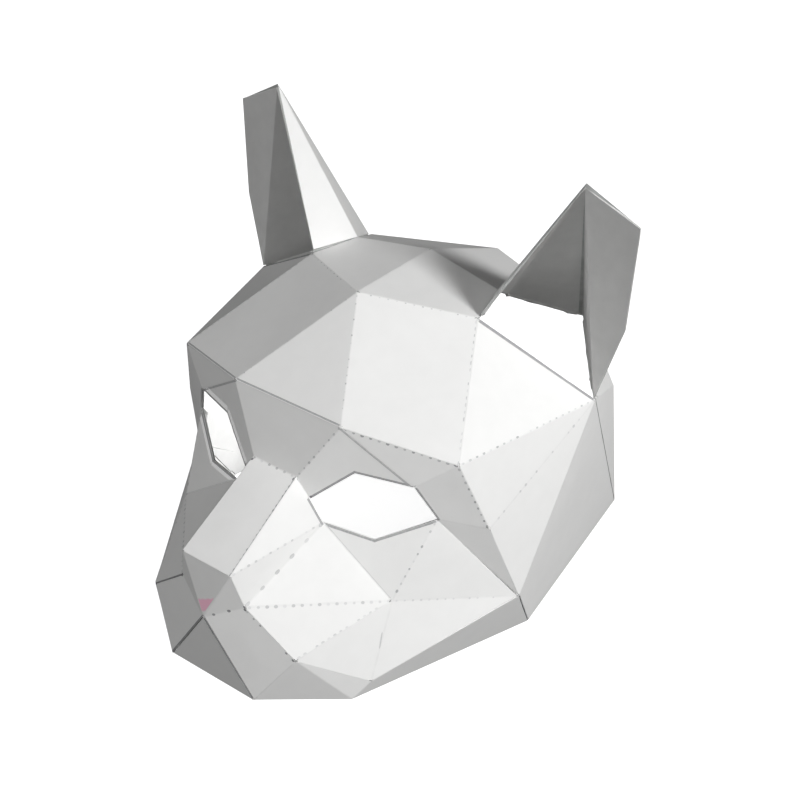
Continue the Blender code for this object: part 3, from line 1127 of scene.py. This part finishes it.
floor_shader = add(
    floor_tree,
    "ShaderNodeBsdfPrincipled",
    {"Roughness": 0.9, "Emission Color": linear("#FFFFFF"), "Emission Strength": 0.84},
    {"Base Color": floor_tone.outputs["Color"]},
)
add(floor_tree, "ShaderNodeOutputMaterial", links={"Surface": floor_shader.outputs["BSDF"]})
floor_data.materials.append(floor_paint)
# The floor glows a little like a light table, but sends no light up into the card's shaded side.
floor.visible_diffuse = False
floor.visible_glossy = False


MIDDLE = Vector((0, 0, 0.08))    # what the soft lights look at


def soft_light(name, azimuth, elevation, distance, size, power):
    """A soft box. Azimuth 0 is in front of the nose, 90 at the wearer's left."""
    turn, rise = math.radians(azimuth), math.radians(elevation)
    away = Vector((math.sin(turn) * math.cos(rise), -math.cos(turn) * math.cos(rise), math.sin(rise)))
    data = bpy.data.lights.new(name, "AREA")
    data.shape = "SQUARE"
    data.size = size
    data.energy = power
    light = bpy.data.objects.new(name, data)
    light.location = MIDDLE + away * distance
    light.rotation_mode = "QUATERNION"
    light.rotation_quaternion = away.to_track_quat("Z", "Y")
    bpy.context.scene.collection.objects.link(light)


# The key stands close to the mask, so its light falls off towards the ears' tips.
soft_light("key_light", azimuth=87, elevation=32, distance=1.2, size=0.28, power=12.0)
soft_light("top_light", azimuth=0, elevation=78, distance=2.5, size=1.0, power=5.2)
soft_light("front_light", azimuth=20, elevation=15, distance=2.5, size=1.0, power=8.0)
soft_light("fill_light", azimuth=340, elevation=30, distance=2.5, size=1.2, power=12.2)
# Behind the right eye hole the thin card is lit from outside and glows white. A small lamp in the hollow,
# which looks at the inside of the right temple, stands for that light.
HOLLOW_PLACE = Vector((0.02, 0.02, 0.06))
HOLLOW_AIM = Vector((-0.08, -0.007, 0.032))
hollow_glow = bpy.data.lights.new("hollow_light", "SPOT")
hollow_glow.energy = 0.7
hollow_glow.shadow_soft_size = 0.015
hollow_glow.spot_size = math.radians(54)
hollow_glow.spot_blend = 0.6
hollow_lamp = bpy.data.objects.new("hollow_light", hollow_glow)
hollow_lamp.location = HOLLOW_PLACE
hollow_lamp.rotation_mode = "QUATERNION"
hollow_lamp.rotation_quaternion = (HOLLOW_PLACE - HOLLOW_AIM).to_track_quat("Z", "Y")
bpy.context.scene.collection.objects.link(hollow_lamp)

world = bpy.data.worlds.new("studio")
world.use_nodes = True
world.node_tree.nodes["Background"].inputs["Color"].default_value = linear("#FFFFFF")
world.node_tree.nodes["Background"].inputs["Strength"].default_value = 0.04
bpy.context.scene.world = world
bpy.context.scene.view_settings.view_transform = "Standard"

# The photograph's viewpoint, fitted together with the mask's corners: 34.5 degrees above the floor and
# 36.6 degrees to the wearer's left.
VIEWPOINT = Vector((0.3166, -0.3995, 0.4310))
forward = Vector((-0.4916, 0.6610, -0.5669)).normalized()
upward = Vector((-0.3469, 0.4485, 0.8237))
rightward = forward.cross(upward).normalized()
upward = rightward.cross(forward)
camera_data = bpy.data.cameras.new("camera")
camera_data.sensor_width = 36.0
camera_data.lens = 68.27
camera = bpy.data.objects.new("camera", camera_data)
turn = Matrix((rightward, upward, -forward)).transposed()
camera.matrix_world = Matrix.Translation(VIEWPOINT) @ turn.to_4x4()
bpy.context.scene.collection.objects.link(camera)
bpy.context.scene.camera = camera
